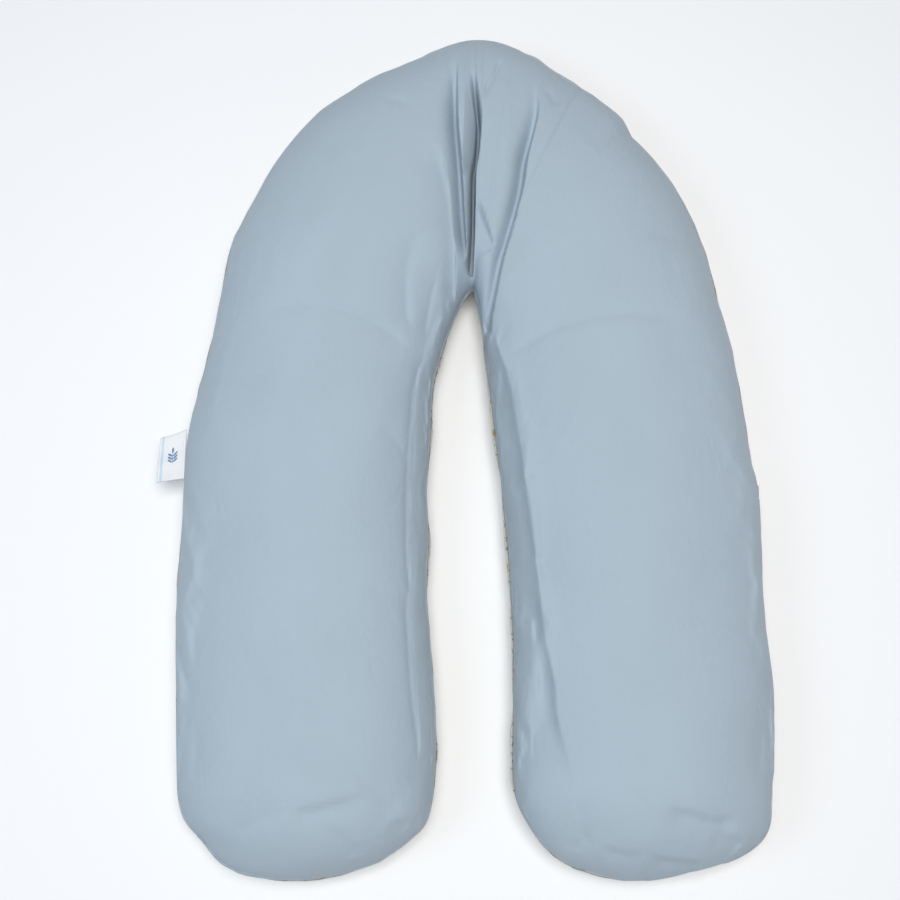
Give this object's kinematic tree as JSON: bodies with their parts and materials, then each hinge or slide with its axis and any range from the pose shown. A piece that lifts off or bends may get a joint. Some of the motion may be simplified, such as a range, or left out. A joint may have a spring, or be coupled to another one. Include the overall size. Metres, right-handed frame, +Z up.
{
  "type": "nursing pillow",
  "caption": "Long U-shaped nursing and support pillow with a zipped two-panel cotton cover over a stuffed inner cushion.",
  "frame": {"origin": "Middle of the underside, on the surface that the pillow lies on, level with the middle of its length and width", "axes": "+X to the right across both arms, +Y from the arm ends towards the bend, +Z up out of the plain side"},
  "size_m": [0.7436, 1.0624, 0.15],
  "materials": {
    "cover_plain": "plain pale blue-grey cotton, fine weave",
    "cover_print": "cream cotton with a small ochre and grey print",
    "inner_case": "white cotton",
    "filling": "loose white fibre",
    "thread": "twisted polyester thread",
    "zip_tape": "woven tape",
    "zip_coil": "nylon coil",
    "zip_metal": "plated, satin",
    "label": "woven satin ribbon"
  },
  "bodies": {
    "right_half": {"cover_front_right": "cover_plain", "cover_back_right": "cover_print", "cover_seam_right": "thread", "inner_case_front_right": "inner_case", "inner_case_back_right": "inner_case", "inner_seam_right": "thread", "inner_closing_stitches": "thread", "filling_right": "filling", "zip_tape_front": "zip_tape", "zip_tape_back": "zip_tape", "zip_coil_front": "zip_coil", "zip_coil_back": "zip_coil", "zip_top_stops": "zip_metal", "zip_bottom_stop": "zip_metal", "care_label": "label"},
    "left_half": {"cover_front_left": "cover_plain", "cover_back_left": "cover_print", "cover_seam_left": "thread", "inner_case_front_left": "inner_case", "inner_case_back_left": "inner_case", "inner_seam_left": "thread", "filling_left": "filling"},
    "zip_slider": {"zip_slider_body": "zip_metal"},
    "zip_pull": {"zip_pull_tab": "zip_metal"},
    "label": {"woven_label": "label", "label_stitches": "thread"}
  },
  "joints": [
    {"name": "bend_fold", "type": "hinge", "parent": "right_half", "child": "left_half", "pos_m": [0.02, 0.533, 0.062], "axis": [0, 0, -1], "range_deg": [0, 30]},
    {"name": "zip_slide", "type": "slide", "parent": "right_half", "child": "zip_slider", "axis": [0, -1, 0], "range_m": [0, 0.33]},
    {"name": "zip_pull_flip", "type": "hinge", "parent": "zip_slider", "child": "zip_pull", "pos_m": [0.36855, -0.06725, 0.062], "axis": [0, 0, 1], "range_deg": [0, 170]},
    {"name": "label_flap", "type": "hinge", "parent": "left_half", "child": "label", "pos_m": [-0.3382, -0.029, 0.062], "axis": [0, 1, 0], "range_deg": [-50, 60], "stiffness_Nm_per_rad": 0.004}
  ]
}
